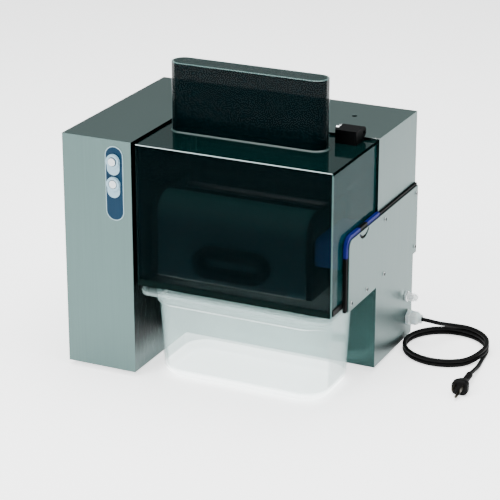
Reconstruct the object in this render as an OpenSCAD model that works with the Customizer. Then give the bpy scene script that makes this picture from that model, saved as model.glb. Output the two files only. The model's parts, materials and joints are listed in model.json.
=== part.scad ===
// Countertop food machine: steel body, hinged smoked guard with a slot chute,
// removable roller cartridge, side bearing plate and a clear catch pan.

/* [Body] */
// Width of the steel body
body_w = 455; // [400:1:560]
// Depth of the steel body
body_d = 340; // [300:1:420]
// Height of the steel body without its feet
body_h = 382; // [340:1:470]
// Width of the control tower
tower_w = 120; // [105:1:160]
// Depth of the working bay in front of the rear housing
bay_d = 178; // [178:1:215]
// Thickness of the steel sheet
sheet = 1.5; // [1:0.1:2.5]
// Height of the rubber feet
foot_h = 8; // [7:1:14]
// Diameter of a foot
foot_dia = 24; // [16:1:36]
// Distance of each foot's centre from the nearest body edges
foot_inset = 27; // [20:1:40]

/* [Guard cover and chute] */
// Gap between the cover and the tower, and between the cover and the bearing plate
cover_gap = 4; // [3:0.5:8]
// Setback of the cover behind the body's front
cover_setback = 6; // [3:1:15]
// Drop of the cover's top below the body's top
cover_drop = 4; // [3:0.5:8]
// Height of the cover from its front edge to its top
cover_h = 230; // [225:1:290]
// Thickness of the cover's sheet
cover_wall = 5; // [3:0.5:6]
// Length of the chute's slot-shaped section
chute_w = 261; // [200:1:290]
// Depth of the chute's section
chute_d = 39; // [30:1:48]
// Height of the chute above the cover
chute_h = 111; // [80:1:150]
// Thickness of the chute's wall
chute_wall = 4; // [3:0.5:6]
// Distance from the cover's left side to the chute
chute_inset = 15; // [10:1:25]
// Depth of the chute's centre line behind the body's front
chute_y = 106.5; // [100:0.5:112]

/* [Hinge] */
// Width of each hinge block
hinge_block_w = 35; // [28:1:48]
// Diameter of the hinge pins
hinge_pin_dia = 6; // [5:0.5:8]
// Height of the hinge axis above the body's top
hinge_rise = 9; // [9:0.5:14]

/* [Cartridge] */
// Height of the roller axes above the body's bottom edge
roller_h = 230; // [222:1:236]
// Distance between the two roller axes
roller_gap = 40; // [36:1:44]
// Diameter of the roller shafts
shaft_dia = 16; // [12:1:18]
// Number of discs on each roller
disc_count = 20; // [8:1:26]
// Thickness of a disc
disc_t = 2; // [1:0.5:3]
// Depth of the guard sheet behind the body's front
guard_y = 40; // [36:1:44]
// Height of the guard sheet
guard_h = 132; // [110:1:140]
// Radius of the guard sheet's curved top
guard_r = 32; // [20:1:40]
// Length of the guard sheet
guard_w = 252; // [200:1:270]
// Length of the grip ring
grip_w = 124; // [100:1:150]
// Height of the grip ring
grip_h = 47; // [40:1:60]
// Depth of the grip ring
grip_d = 24; // [16:1:26]

/* [Bearing plate] */
// Depth position of the side plate's front edge
side_plate_y = 52.5; // [48:0.5:60]
// Height of the side plate's bottom edge above the body's bottom edge
side_plate_z = 143.5; // [140:0.5:150]
// Height of the side plate
side_plate_h = 115; // [100:1:130]
// Width of the blue rim that shows around the side plate
rim_w = 6; // [3:0.5:8]

/* [Pan] */
// Length of the pan over its rim
pan_w = 325; // [250:1:327]
// Depth of the pan over its rim
pan_d = 176; // [150:1:176]
// Height of the pan
pan_h = 150; // [100:1:150]
// Thickness of the pan's wall
pan_wall = 3; // [2:0.5:5]

/* [Controls] */
// Distance of the buttons' centre line from the tower's left side
button_x = 90; // [60:1:92]
// Height of the start button above the body's bottom edge
start_z = 348.5; // [300:0.5:350]
// Height of the stop button above the body's bottom edge
stop_z = 312; // [260:0.5:312]
// Diameter of the push buttons' caps
cap_dia = 13.5; // [11:0.5:15]
// Travel of the push buttons
button_travel = 3; // [2:0.5:4]

/* [Side fittings] */
// Distance of the cable gland's centre in front of the body's back
gland_back = 17; // [15:0.5:30]
// Height of the cable gland's centre above the body's bottom edge
gland_z = 33; // [25:1:45]
// Length of the gland outside the body
gland_out = 25; // [20:1:30]
// Diameter of the power cord
cord_dia = 7; // [5:0.5:8]
// Distance of the reset button's centre in front of the body's back
reset_back = 31; // [25:0.5:60]
// Height of the reset button's centre above the body's bottom edge
reset_z = 75; // [70:1:120]

/* [Hidden] */
$fn = 48;

// clearances
run_fit = 0.05;
air = 0.5;
// overhangs that set the overall box: button caps in front, screw heads behind
cap_out = 7;
screw_head_h = 2;
screw_head_r = 3.5;
// the frame's origin is under the middle of the machine's box
mid_x = (body_w + gland_out) / 2;
mid_y = (body_d + screw_head_h - cap_out) / 2;
z_low = foot_h;
z_top = foot_h + body_h;

// cover
cover_x0 = tower_w + cover_gap;
cover_x1 = body_w - cover_gap;
cover_y0 = cover_setback;
cover_y1 = bay_d - 1;
cover_z1 = z_top - cover_drop;
cover_z0 = cover_z1 - cover_h;
cover_mid = (cover_x0 + cover_x1) / 2;
chute_x = cover_x0 + chute_inset + chute_w / 2;

// hinge
hinge_y = bay_d - 4;
hinge_z = z_top + hinge_rise;
knuckle_r = hinge_rise - 0.3;
block_x1 = cover_x1 - 20;
block_x0 = block_x1 - hinge_block_w;
block_d = 31;
pin_r = hinge_pin_dia / 2;
ear_t = 4;

// cartridge
roller_z = z_low + roller_h;
front_y = chute_y - roller_gap / 2;
rear_y = chute_y + roller_gap / 2;
shaft_r = shaft_dia / 2;
gear_teeth = 20;
gear_m = roller_gap / gear_teeth;
disc_r = roller_gap / 2 + 2;
spacer_r = roller_gap / 2 - 7;
guard_x0 = tower_w + 22.5;
guard_x1 = guard_x0 + guard_w;
guard_z0 = z_low + 156.5;
guard_z1 = guard_z0 + guard_h;
cheek_t = 10;
gear_t = 9;
left_cheek_x = guard_x0 - cheek_t - air;
right_cheek_x = guard_x1 + air;
roller_x0 = guard_x0 + gear_t + 4;
roller_x1 = guard_x1 - 6;
disc_pitch = (roller_x1 - roller_x0 - disc_t) / (disc_count - 0.5);
journal_depth = 24;
grip_x = guard_x0 + guard_w / 2 + 6;
grip_z = guard_z0 + 40;
journal_x1 = cover_x1 - cover_wall - 1.5;
journal_y0 = guard_y + 10;
journal_y1 = bay_d - 14;
journal_h = 45;

// side plate
plate_t = 6;
plate_x = body_w - 2.5;
side_plate_t = 2;
side_x = plate_x + plate_t;
plate_z = z_low + side_plate_z;
plate_top = plate_z + side_plate_h;
plate_end = body_d - 1;
rim_y = side_plate_y - rim_w;
rest_h = 10;
rest_top = plate_z + 6 + rest_h;
rest_end = side_plate_y + 5;
corner_r = 12;
slot_y = chute_y + 4;
slot_r = 22.3;
slot_z = plate_top + 8.8;

// drive
pulley_x = 58;
pulley_t = 24;
pulley_r = 66;
small_r = 20;
belt_t = 3;
motor_y = (bay_d + body_d) / 2 + 3;
motor_z = z_low + 117;
out_r = 9;
coupling_r = 13;
rotor_r = 7;
core_r = 28;
motor_r = 52;
motor_x0 = tower_w + 55;
motor_x1 = motor_x0 + 150;

// pan
pan_rim = 13;
pan_taper = 8;
pan_r = 38;
pan_step_h = 24;
pan_step = 1.6;

// buttons
label_x = button_x + 1;
label_t = 0.8;
plate_thick = 1.5;
stem_r = 5;
stem_in = 28;
bezel_r = 11;
bezel_h = 4.5;
label_w = 31.5;
label_h = 120.5;
label_drop = 18;

// cord: route points from the point on the floor under the gland's mouth
lead_route = [
    [0, 0, 41], [8, 0.5, 40.5], [17, 4.5, 38], [25, 13, 33.5],
    [30, 24.5, 28.5], [35.5, 36.5, 23.5], [45.5, 46.5, 19.5], [59.5, 51.5, 17.5]
];
tail_points = [
    [115, -14.5, 3.5], [116.5, -31.5, 3.5], [119, -49.5, 4], [121, -67.5, 5.5],
    [122.5, -85.5, 8.5], [123.5, -101.5, 11], [124, -111.5, 12]
];
coil_at = [48, -14.5, 0];
coil_r = 67;
coil_layers = 3;
plug_yaw = 3;
plug_at = [124, -111.5, 12];
// the lead drops from the gland's height to the top of the coil
lead_low = lead_route[len(lead_route) - 1][2];
lead_drop = (z_low + gland_z - lead_low) / (lead_route[0][2] - lead_low);
lead_points = [for (p = lead_route) [p[0], p[1], lead_low + (p[2] - lead_low) * lead_drop]];

// ---------- helpers ----------
module place() {
    translate([-mid_x, -mid_y, 0]) children();
}

// cylinder along +X from a start point
module rod_x(start, length, r) {
    translate(start) rotate([0, 90, 0]) cylinder(h = length, r = r);
}

// cylinder along +Y from a start point
module rod_y(start, length, r) {
    translate(start) rotate([-90, 0, 0]) cylinder(h = length, r = r);
}

// outline drawn in depth and height, given its thickness along X
module slab_x(x, t) {
    translate([x, 0, 0]) rotate([90, 0, 90]) linear_extrude(t) children();
}

module round_rect(w, d, r) {
    translate([r, 0]) square([w - 2 * r, d]);
    translate([0, r]) square([w, d - 2 * r]);
    for (x = [r, w - r], y = [r, d - r]) translate([x, y]) circle(r = r);
}

module stadium(w, d) {
    translate([d / 2 - w / 2, -d / 2]) square([w - d, d]);
    for (s = [-1, 1]) translate([s * (w - d) / 2, 0]) circle(d = d);
}

function ring_point(p, side, up, r, a) = p + r * cos(a) * side + r * sin(a) * up;
function unit(v) = v / norm(v);
function smooth(pts, i, t) =
    let (n = len(pts) - 1)
    let (a = pts[max(i - 1, 0)], b = pts[i], c = pts[min(i + 1, n)], d = pts[min(i + 2, n)])
    0.5 * (2 * b + (c - a) * t + (2 * a - 5 * b + 4 * c - d) * t * t
        + (3 * b - a - 3 * c + d) * t * t * t);

// round tube swept along a smooth curve through the points
module sweep(pts, r, steps, sides) {
    last = (len(pts) - 1) * steps;
    path = [for (k = [0 : last]) let (i = min(floor(k / steps), len(pts) - 2))
        smooth(pts, i, k / steps - i)];
    rings = [for (k = [0 : last])
        let (along = unit(path[min(k + 1, last)] - path[max(k - 1, 0)]))
        let (side = unit(cross(along, [0, 0, 1])))
        let (up = cross(side, along))
        for (j = [0 : sides - 1]) ring_point(path[k], side, up, r, 360 * j / sides)];
    walls = [for (k = [0 : last - 1], j = [0 : sides - 1])
        let (n = (j + 1) % sides)
        [k * sides + j, k * sides + n, (k + 1) * sides + n, (k + 1) * sides + j]];
    first_cap = [for (j = [sides - 1 : -1 : 0]) j];
    last_cap = [for (j = [0 : sides - 1]) last * sides + j];
    polyhedron(points = rings, faces = concat([first_cap], walls, [last_cap]), convexity = 8);
}

// one side of a gear tooth as an involute, from the root to the tip
function flank(m, n, side) =
    let (rp = m * n / 2)
    let (rb = rp * cos(20))
    let (half = 90 / n - 1.1 + (tan(20) - 20 * PI / 180) * 180 / PI)
    [for (k = [0 : 4])
        let (r = max(rb, rp - m) + k * (rp + m - max(rb, rp - m)) / 4)
        let (t = acos(rb / r))
        let (a = half - (tan(t) - t * PI / 180) * 180 / PI)
        [r, side * a]];

module gear_outline(m, n) {
    root = m * n / 2 - 1.25 * m;
    pts = [for (k = [0 : n - 1])
        let (lo = flank(m, n, -1))
        let (hi = flank(m, n, 1))
        let (row = concat([[root, lo[0][1]]], lo, [for (i = [4 : -1 : 0]) hi[i]], [[root, hi[0][1]]]))
        for (p = row) [p[0] * cos(p[1] + 360 * k / n), p[0] * sin(p[1] + 360 * k / n)]];
    polygon(pts);
}

// ---------- body ----------
module tower_housing() {
    color("lightsteelblue") place() difference() {
        translate([0, 0, z_low]) cube([tower_w, body_d, body_h]);
        translate([sheet, sheet, z_low - 1])
            cube([tower_w - 2 * sheet, body_d, body_h - sheet + 1]);
        rod_x([tower_w - 5, rear_y, roller_z], 10, shaft_r + 3);
        rod_x([tower_w - 5, motor_y, motor_z], 10, small_r + 8);
        for (z = [start_z, stop_z]) rod_y([button_x, -1, z_low + z], 5, stem_r + 1);
    }
}

module rear_housing() {
    color("lightsteelblue") place() difference() {
        translate([tower_w, bay_d, z_low]) cube([body_w - tower_w, body_d - bay_d, body_h]);
        translate([tower_w - 1, bay_d + sheet, z_low - 1])
            cube([body_w - tower_w - sheet + 1, body_d - bay_d, body_h - sheet + 1]);
        translate([body_w - 80, (bay_d + body_d) / 2 + 13, z_top - 5]) cylinder(h = 10, r = 4.5);
        rod_x([body_w - 5, body_d - gland_back, z_low + gland_z], 10, 8);
        rod_x([body_w - 5, body_d - reset_back, z_low + reset_z], 10, 6);
    }
}

module base_plate() {
    color("silver") place() translate([0, 0, z_low]) linear_extrude(2) {
        translate([sheet, sheet]) square([tower_w - 2 * sheet, body_d - 2 * sheet]);
        translate([tower_w, bay_d + sheet])
            square([body_w - tower_w - sheet, body_d - bay_d - 2 * sheet]);
    }
}

module louvres(x0, z0, count) {
    for (k = [0 : count - 1]) translate([x0, body_d - 5, z0 + 14 * k]) cube([70, 10, 4]);
}

module back_panel() {
    color("lightsteelblue") place() difference() {
        union() {
            translate([sheet, body_d - sheet, z_low + 2])
                cube([tower_w - 2 * sheet, sheet, body_h - 2 - sheet]);
            translate([tower_w, body_d - sheet, z_low + 2])
                cube([body_w - tower_w - sheet, sheet, body_h - 2 - sheet]);
        }
        louvres(body_w - 130, z_low + 60, 8);
        louvres(body_w - 230, z_low + 60, 8);
    }
}

module back_panel_screws() {
    color("silver") place() for (z = [z_low + 14, z_low + body_h / 2, z_top - 14])
        for (x = [14, tower_w + 14, body_w - 14]) rod_y([x, body_d, z], screw_head_h, screw_head_r);
}

module feet() {
    inner = tower_w - foot_inset;
    spots = [
        [foot_inset, foot_inset], [inner, foot_inset], [foot_inset, body_d - foot_inset],
        [body_w - foot_inset, body_d - foot_inset], [body_w - foot_inset, bay_d + foot_inset]
    ];
    color("black") place() for (p = spots) translate([p[0], p[1], 0])
        cylinder(h = foot_h, r = foot_dia / 2);
}

// ---------- controls ----------
module control_label() {
    color("steelblue") place() difference() {
        translate([label_x, 0, z_low + (start_z + stop_z) / 2 - label_drop]) rotate([90, 0, 0])
            linear_extrude(label_t) rotate(90) stadium(label_h, label_w);
        for (z = [start_z, stop_z]) rod_y([button_x, -5, z_low + z], 10, stem_r + 1);
    }
}

module button_plates() {
    color("white") place() for (z = [start_z, stop_z]) difference() {
        union() {
            translate([button_x, -label_t, z_low + z]) rotate([90, 0, 0]) linear_extrude(plate_thick)
                union() {
                    circle(r = bezel_r + 0.5);
                    translate([-bezel_r, -11.5]) square([2 * bezel_r, 11.5]);
                    translate([0, -11.5]) circle(r = bezel_r);
                }
            rod_y([button_x, -label_t - bezel_h, z_low + z], bezel_h, bezel_r);
        }
        rod_y([button_x, -10, z_low + z], 20, cap_dia / 2 + air);
    }
}

module push_button(z, out) {
    back = button_travel + label_t + air;
    rod_y([button_x, -out, z], out - back, cap_dia / 2);
    rod_y([button_x, -back, z], back + stem_in, stem_r);
}

module start_button() {
    color("white") place() push_button(z_low + start_z, cap_out);
}

module stop_button() {
    color("white") place() push_button(z_low + stop_z, label_t + bezel_h);
}

module switch_blocks() {
    color("dimgray") place() for (z = [start_z, stop_z]) difference() {
        translate([button_x - 14, sheet, z_low + z - 16]) cube([26, stem_in + 20, 32]);
        rod_y([button_x, 0, z_low + z], sheet + stem_in + 10, stem_r + 1);
    }
}

// ---------- bearing plate side ----------
module plate_outline(y0, y1, top, r) {
    translate([y0 + r, plate_z]) square([y1 - y0 - r, top - plate_z]);
    translate([y0, plate_z]) square([y1 - y0, top - plate_z - r]);
    translate([y0 + r, top - r]) circle(r = r);
}

module bearing_plate() {
    color("blue") place() slab_x(plate_x, plate_t)
        plate_outline(rim_y, bay_d - air, plate_top + rim_w, corner_r + rim_w);
}

module plate_spacer() {
    color("black") place() translate([body_w, bay_d + air, plate_z])
        cube([side_x - body_w, plate_end - bay_d - air, side_plate_h + rim_w - 2]);
}

// crescent slot that lets a finger find the plate's edge
module crescent() {
    intersection() {
        difference() {
            translate([slot_y, slot_z]) circle(r = slot_r);
            translate([slot_y, slot_z + 5]) circle(r = slot_r);
        }
        translate([0, plate_z]) square([bay_d, side_plate_h - 2]);
    }
}

module side_plate() {
    color("lightgray") place() slab_x(side_x, side_plate_t) difference() {
        plate_outline(side_plate_y, plate_end, plate_top, corner_r);
        crescent();
    }
}

module side_plate_screws() {
    low = plate_z + 11.5;
    high = plate_top - 12;
    near = bay_d + 18.5;
    far = plate_end - 8;
    spots = [[side_plate_y + 11, low], [side_plate_y + 73, low], [near, low], [far, low],
        [near, high], [far, high]];
    color("silver") place() for (p = spots)
        rod_x([side_x + side_plate_t, p[0], p[1]], 1.6, 3.3);
}

module cover_rests() {
    y0 = cover_y0 + cover_wall + 1;
    color("black") place() {
        translate([cover_x1 - cover_wall, y0, rest_top - rest_h])
            cube([plate_x - cover_x1 + cover_wall, rest_end - y0, rest_h]);
        translate([tower_w, y0, rest_top - rest_h])
            cube([cover_x0 + cover_wall - tower_w, rest_end - y0, rest_h]);
    }
}

// ---------- guard cover ----------
module guard_cover() {
    color("darkslategray") place() difference() {
        translate([cover_x0, cover_y0, cover_z0])
            cube([cover_x1 - cover_x0, cover_y1 - cover_y0, cover_h]);
        translate([cover_x0 + cover_wall, cover_y0 + cover_wall, cover_z0 - 1])
            cube([cover_x1 - cover_x0 - 2 * cover_wall, cover_y1, cover_h - cover_wall + 1]);
        // the rests leave their notches backwards as the cover swings up
        translate([cover_x0 - 1, cover_y0 + cover_wall, cover_z0 - 1])
            cube([cover_x1 - cover_x0 + 2, rest_end + 28 - cover_y0 - cover_wall,
                rest_top - cover_z0 + 1 + air]);
        // the cover swings clear of the drive coupling
        translate([cover_x0 - 1, rear_y - coupling_r - 6, cover_z0 - 1])
            cube([cover_wall + 2, cover_y1, roller_z + coupling_r + 9 - cover_z0]);
        translate([chute_x, chute_y, cover_z1 - 10]) linear_extrude(20)
            stadium(chute_w - 2 * chute_wall, chute_d - 2 * chute_wall);
    }
}

module feed_chute() {
    color("darkslategray") place() translate([chute_x, chute_y, cover_z1]) linear_extrude(chute_h)
        difference() {
            stadium(chute_w, chute_d);
            stadium(chute_w - 2 * chute_wall, chute_d - 2 * chute_wall);
        }
}

module both_sides() {
    children();
    translate([2 * cover_mid, 0, 0]) mirror([1, 0, 0]) children();
}

module hinge_blocks() {
    color("black") place() both_sides() difference() {
        union() {
            translate([block_x0, hinge_y - block_d, cover_z1])
                cube([hinge_block_w, block_d, hinge_z + knuckle_r - cover_z1]);
            rod_x([block_x0, hinge_y, hinge_z], hinge_block_w, knuckle_r);
        }
        rod_x([block_x0 - 1, hinge_y, hinge_z], hinge_block_w + 2, pin_r + run_fit);
    }
}

module hinge_brackets() {
    ear_x = block_x0 - air - ear_t;
    color("silver") place() both_sides() difference() {
        union() {
            rod_x([ear_x, hinge_y, hinge_z], ear_t, 8);
            translate([ear_x, hinge_y, z_top + 1]) cube([ear_t, 26, 7]);
            translate([ear_x - 12, bay_d + 4, z_top]) cube([ear_t + 12, 22, 2.5]);
        }
        rod_x([ear_x - 1, hinge_y, hinge_z], ear_t + 2, pin_r);
    }
}

module hinge_pins() {
    ear_x = block_x0 - air - ear_t;
    color("lightgray") place() both_sides() {
        rod_x([ear_x - 4, hinge_y, hinge_z], ear_t + 4 + air + hinge_block_w - 3, pin_r);
        rod_x([ear_x - 6, hinge_y, hinge_z], 6, pin_r + 2.5);
    }
}

module cover_magnet() {
    color("black") place() translate([cover_x0 + cover_wall, cover_y1 - 28, cover_z1 - 60])
        cube([10, 20, 30]);
}

module interlock_switch() {
    color("dimgray") place() translate([cover_x0 + cover_wall + 1, bay_d - 6, cover_z1 - 58])
        cube([14, 6, 26]);
}

// ---------- cartridge ----------
module cheek_outline() {
    back = bay_d - 12;
    translate([guard_y, guard_z0]) square([back - guard_y, guard_h - guard_r]);
    translate([guard_y + guard_r, guard_z0]) square([back - guard_y - guard_r, guard_h]);
    translate([guard_y + guard_r, guard_z1 - guard_r]) circle(r = guard_r);
}

module cheek(x) {
    difference() {
        slab_x(x, cheek_t) cheek_outline();
        for (y = [front_y, rear_y]) rod_x([x - 1, y, roller_z], cheek_t + 2, shaft_r + run_fit);
    }
}

module left_cheek() {
    color("black") place() cheek(left_cheek_x);
}

module right_cheek() {
    color("black") place() cheek(right_cheek_x);
}

module journal_block() {
    color("blue") place() difference() {
        slab_x(right_cheek_x + cheek_t, journal_x1 - right_cheek_x - cheek_t)
            translate([journal_y0, roller_z - journal_h / 2 + 1])
                round_rect(journal_y1 - journal_y0, journal_h, 8);
        for (y = [front_y, rear_y])
            rod_x([right_cheek_x + cheek_t - 1, y, roller_z], journal_depth + 2, shaft_r + run_fit);
    }
}

module tie_rods() {
    x0 = left_cheek_x + cheek_t;
    spots = [[guard_y + 14, guard_z0 + 12], [bay_d - 28, guard_z0 + 12],
        [bay_d - 28, guard_z1 - 16], [guard_y + 22, guard_z1 - 18]];
    color("silver") place() for (p = spots) rod_x([x0, p[0], p[1]], right_cheek_x - x0, 5);
}

module comb(y, dir, shift) {
    x0 = left_cheek_x + cheek_t;
    base = dir > 0 ? y - 7 : y;
    translate([x0, base, roller_z - 6]) cube([right_cheek_x - x0, 7, 12]);
    reach = abs((dir > 0 ? front_y : rear_y) - y) - spacer_r - 1;
    for (k = [0 : disc_count - 2])
        translate([roller_x0 + shift + disc_t + (k + 0.5) * disc_pitch - disc_t / 2 - 1,
            dir > 0 ? y : y - reach, roller_z - 2]) cube([2, reach, 4]);
}

module comb_bars() {
    color("silver") place() {
        comb(front_y - disc_r - 6, 1, 0);
        comb(rear_y + disc_r + 4, -1, disc_pitch / 2);
    }
}

module guard_sheet() {
    color("black") place() slab_x(guard_x0, guard_w) {
        translate([guard_y, guard_z0]) square([sheet, guard_h - guard_r]);
        translate([guard_y + guard_r, guard_z1 - sheet]) square([8, sheet]);
        translate([guard_y + guard_r, guard_z1 - guard_r]) intersection() {
            difference() {
                circle(r = guard_r);
                circle(r = guard_r - sheet);
            }
            translate([-guard_r, 0]) square(guard_r);
        }
    }
}

module grip_ring() {
    bar = 13;
    color("black") place() translate([grip_x, guard_y, grip_z]) rotate([90, 0, 0])
        linear_extrude(grip_d) difference() {
            stadium(grip_w, grip_h);
            stadium(grip_w - 2 * bar, grip_h - 2 * bar);
        }
}

module disc_outline() {
    teeth = 16;
    polygon([for (k = [0 : 2 * teeth - 1])
        let (r = k % 2 == 0 ? disc_r : disc_r - 3)
        [r * cos(180 * k / teeth), r * sin(180 * k / teeth)]]);
}

module roller(y, x_start, shift) {
    rod_x([x_start, y, roller_z], right_cheek_x + cheek_t + journal_depth - x_start, shaft_r);
    rod_x([roller_x0 - 1, y, roller_z], roller_x1 - roller_x0 + 2, spacer_r);
    for (k = [0 : disc_count - 1]) translate([roller_x0 + shift + k * disc_pitch, y, roller_z])
        rotate([0, 90, 0]) linear_extrude(disc_t) disc_outline();
}

module front_roller() {
    color("silver") place() roller(front_y, left_cheek_x, 0);
}

module rear_roller() {
    color("silver") place() roller(rear_y, tower_w + 6, disc_pitch / 2);
}

module roller_gear(y, turn) {
    difference() {
        translate([guard_x0 + 1, y, roller_z]) rotate([0, 90, 0]) rotate(turn)
            linear_extrude(gear_t) gear_outline(gear_m, gear_teeth);
        rod_x([guard_x0, y, roller_z], gear_t + 2, shaft_r);
    }
}

module front_gear() {
    color("silver") place() roller_gear(front_y, 90);
}

module rear_gear() {
    color("silver") place() roller_gear(rear_y, 90 + 180 / gear_teeth);
}

// ---------- drive ----------
module drive_coupling() {
    color("silver") place() difference() {
        rod_x([tower_w + 1, rear_y, roller_z], left_cheek_x - tower_w - 2, coupling_r);
        rod_x([tower_w, rear_y, roller_z], left_cheek_x - tower_w + 1, shaft_r);
    }
}

module drive_shaft() {
    start = pulley_x - 22;
    color("silver") place() rod_x([start, rear_y, roller_z], tower_w + 5.5 - start, shaft_r);
}

module bearing_ring(x) {
    difference() {
        rod_x([x, rear_y, roller_z], 12, 18);
        rod_x([x - 1, rear_y, roller_z], 14, shaft_r + run_fit);
    }
}

module shaft_bearings() {
    color("lightgray") place() {
        bearing_ring(pulley_x - 18);
        bearing_ring(tower_w - sheet - 12);
    }
}

module bearing_bracket() {
    x0 = pulley_x - 18;
    color("gray") place() {
        difference() {
            rod_x([x0, rear_y, roller_z], 6, pulley_r + 24);
            rod_x([x0 - 1, rear_y, roller_z], 8, 18);
        }
        for (a = [75, 165, 215])
            rod_x([x0 + 6, rear_y + (pulley_r + 15) * cos(a), roller_z + (pulley_r + 15) * sin(a)],
                tower_w - sheet - x0 - 6, 6);
    }
}

module drive_pulley() {
    color("darkgray") place() difference() {
        union() {
            rod_x([pulley_x, rear_y, roller_z], pulley_t, pulley_r);
            rod_x([pulley_x, rear_y, roller_z], pulley_t + 8, 16);
        }
        rod_x([pulley_x - 1, rear_y, roller_z], pulley_t + 10, shaft_r);
    }
}

module belt_outline(grow) {
    hull() {
        translate([rear_y, roller_z]) circle(r = pulley_r + grow, $fn = 96);
        translate([motor_y, motor_z]) circle(r = small_r + grow, $fn = 96);
    }
}

module drive_belt() {
    color("black") place() slab_x(pulley_x + 2, pulley_t - 4) difference() {
        belt_outline(air + belt_t);
        belt_outline(air);
    }
}

module motor_pulley() {
    color("darkgray") place() difference() {
        rod_x([pulley_x, motor_y, motor_z], pulley_t, small_r);
        rod_x([pulley_x - 1, motor_y, motor_z], pulley_t + 2, out_r);
    }
}

module gearbox_shaft() {
    color("silver") place()
        rod_x([pulley_x - 6, motor_y, motor_z], tower_w + 22 - pulley_x, out_r);
}

module gearbox() {
    color("gray") place() difference() {
        rod_x([tower_w, motor_y, motor_z], motor_x0 - tower_w, motor_r - 6);
        rod_x([tower_w - 1, motor_y, motor_z], 20, out_r + run_fit);
    }
}

module motor_housing() {
    color("gray") place() difference() {
        rod_x([motor_x0, motor_y, motor_z], motor_x1 - motor_x0 + 28, motor_r);
        rod_x([motor_x0 + 6, motor_y, motor_z], motor_x1 - motor_x0 - 12, motor_r - 6);
        rod_x([motor_x1, motor_y, motor_z], 30, motor_r - 6);
        rod_x([motor_x0 - 1, motor_y, motor_z], motor_x1 - motor_x0 + 2, rotor_r + run_fit);
    }
}

module stator() {
    color("peru") place() difference() {
        rod_x([motor_x0 + 30, motor_y, motor_z], 85, motor_r - 6);
        rod_x([motor_x0 + 29, motor_y, motor_z], 87, core_r + air);
    }
}

module rotor() {
    color("silver") place() {
        rod_x([motor_x0 + 1, motor_y, motor_z], motor_x1 - motor_x0 + 23, rotor_r);
        rod_x([motor_x0 + 32, motor_y, motor_z], 81, core_r);
    }
}

module cooling_fan() {
    color("black") place() translate([motor_x1 + 4, motor_y, motor_z]) rotate([0, 90, 0])
        difference() {
            union() {
                cylinder(h = 3, r = motor_r - 9);
                cylinder(h = 16, r = 12);
                for (a = [0 : 45 : 315]) rotate(a) translate([10, -1, 0])
                    cube([motor_r - 20, 2, 16]);
            }
            translate([0, 0, -1]) cylinder(h = 20, r = rotor_r);
        }
}

module motor_bracket() {
    color("silver") place() difference() {
        for (x = [motor_x0 + 25, motor_x1 - 35])
            translate([x, motor_y - 36, z_low + 2]) cube([12, 72, motor_z - z_low - 32]);
        rod_x([motor_x0, motor_y, motor_z], motor_x1 - motor_x0, motor_r);
    }
}

module capacitor() {
    color("silver") place() translate([body_w - 60, body_d - 38, z_low + 2])
        cylinder(h = 72, r = 18);
}

module control_board() {
    x0 = body_w - 72;
    y0 = bay_d + sheet;
    color("green") place() {
        translate([x0, y0 + 10, z_low + 130]) cube([60, 2, 90]);
        for (x = [x0 + 6, x0 + 54], z = [z_low + 136, z_low + 214]) rod_y([x, y0, z], 10, 3);
        for (k = [0 : 2]) translate([x0 + 4 + 18 * k, y0 + 12, z_low + 140]) cube([15, 14, 24]);
    }
}

// ---------- pan ----------
// tapered pan with a stacking step below its rim; each row is a wall's inset and its height
module pan_body(grow, z0, z1) {
    w = pan_w - 2 * pan_rim;
    d = pan_d - 2 * pan_rim;
    step_z = pan_h - pan_step_h - grow;
    upper = [[0, z1 - 0.1], [0.6, step_z]];
    lower = [[0.6 + pan_step, step_z], [pan_taper, z0 + 12], [pan_taper + 7, z0]];
    for (part = [upper, lower]) hull() for (e = part)
        translate([e[0] - grow, e[0] - grow, e[1]]) linear_extrude(0.1)
            round_rect(w - 2 * (e[0] - grow), d - 2 * (e[0] - grow), pan_r, $fn = 32);
}

module catch_pan() {
    lip = 4;
    color("whitesmoke") place() translate([cover_mid - pan_w / 2, 1, 0]) difference() {
        union() {
            translate([0, 0, pan_h - lip]) linear_extrude(lip) round_rect(pan_w, pan_d, 22);
            translate([pan_rim, pan_rim, 0]) pan_body(0, 0, pan_h - lip + 0.1);
        }
        translate([pan_rim, pan_rim, 0]) pan_body(-pan_wall, pan_wall, pan_h + 1);
    }
}

// ---------- side fittings ----------
module reset_button() {
    color("white") place()
        rod_x([body_w - 14, body_d - reset_back, z_low + reset_z], 28, 3.2);
}

module reset_nut() {
    y = body_d - reset_back;
    z = z_low + reset_z;
    color("silver") place() difference() {
        union() {
            rod_x([body_w - 10, y, z], 10, 6);
            rod_x([body_w, y, z], 5, 9.5, $fn = 6);
        }
        rod_x([body_w - 11, y, z], 20, 3.2 + air);
    }
}

module reset_boot() {
    y = body_d - reset_back;
    z = z_low + reset_z;
    color("white") place() difference() {
        union() {
            rod_x([body_w + 5, y, z], 10, 7.5);
            translate([body_w + 15, y, z]) sphere(r = 7.5);
        }
        rod_x([body_w + 4, y, z], 11, 6);
        translate([body_w + 15, y, z]) sphere(r = 6);
    }
}

module cable_gland() {
    at = [body_w, body_d - gland_back, z_low + gland_z];
    color("whitesmoke") place() {
        rod_x(at - [12, 0, 0], 12, 8);
        rod_x(at - [sheet + 5, 0, 0], 5, 13.5, $fn = 6);
        translate(at) rotate([0, 90, 0]) rotate(30) cylinder(h = 7, r = 14, $fn = 6);
        translate(at + [7, 0, 0]) rotate([0, 90, 0]) cylinder(h = gland_out - 11, r = 11);
        translate(at + [gland_out - 4, 0, 0]) rotate([0, 90, 0]) cylinder(h = 4, r = 7.5);
    }
}

// ---------- cord ----------
module from_gland() {
    place() translate([body_w + gland_out, body_d - gland_back, 0]) children();
}

module cord_lead() {
    color("black") from_gland() sweep(lead_points, cord_dia / 2, 2, 10);
}

module cord_tail() {
    color("black") from_gland() sweep(tail_points, cord_dia / 2, 2, 10);
}

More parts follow.
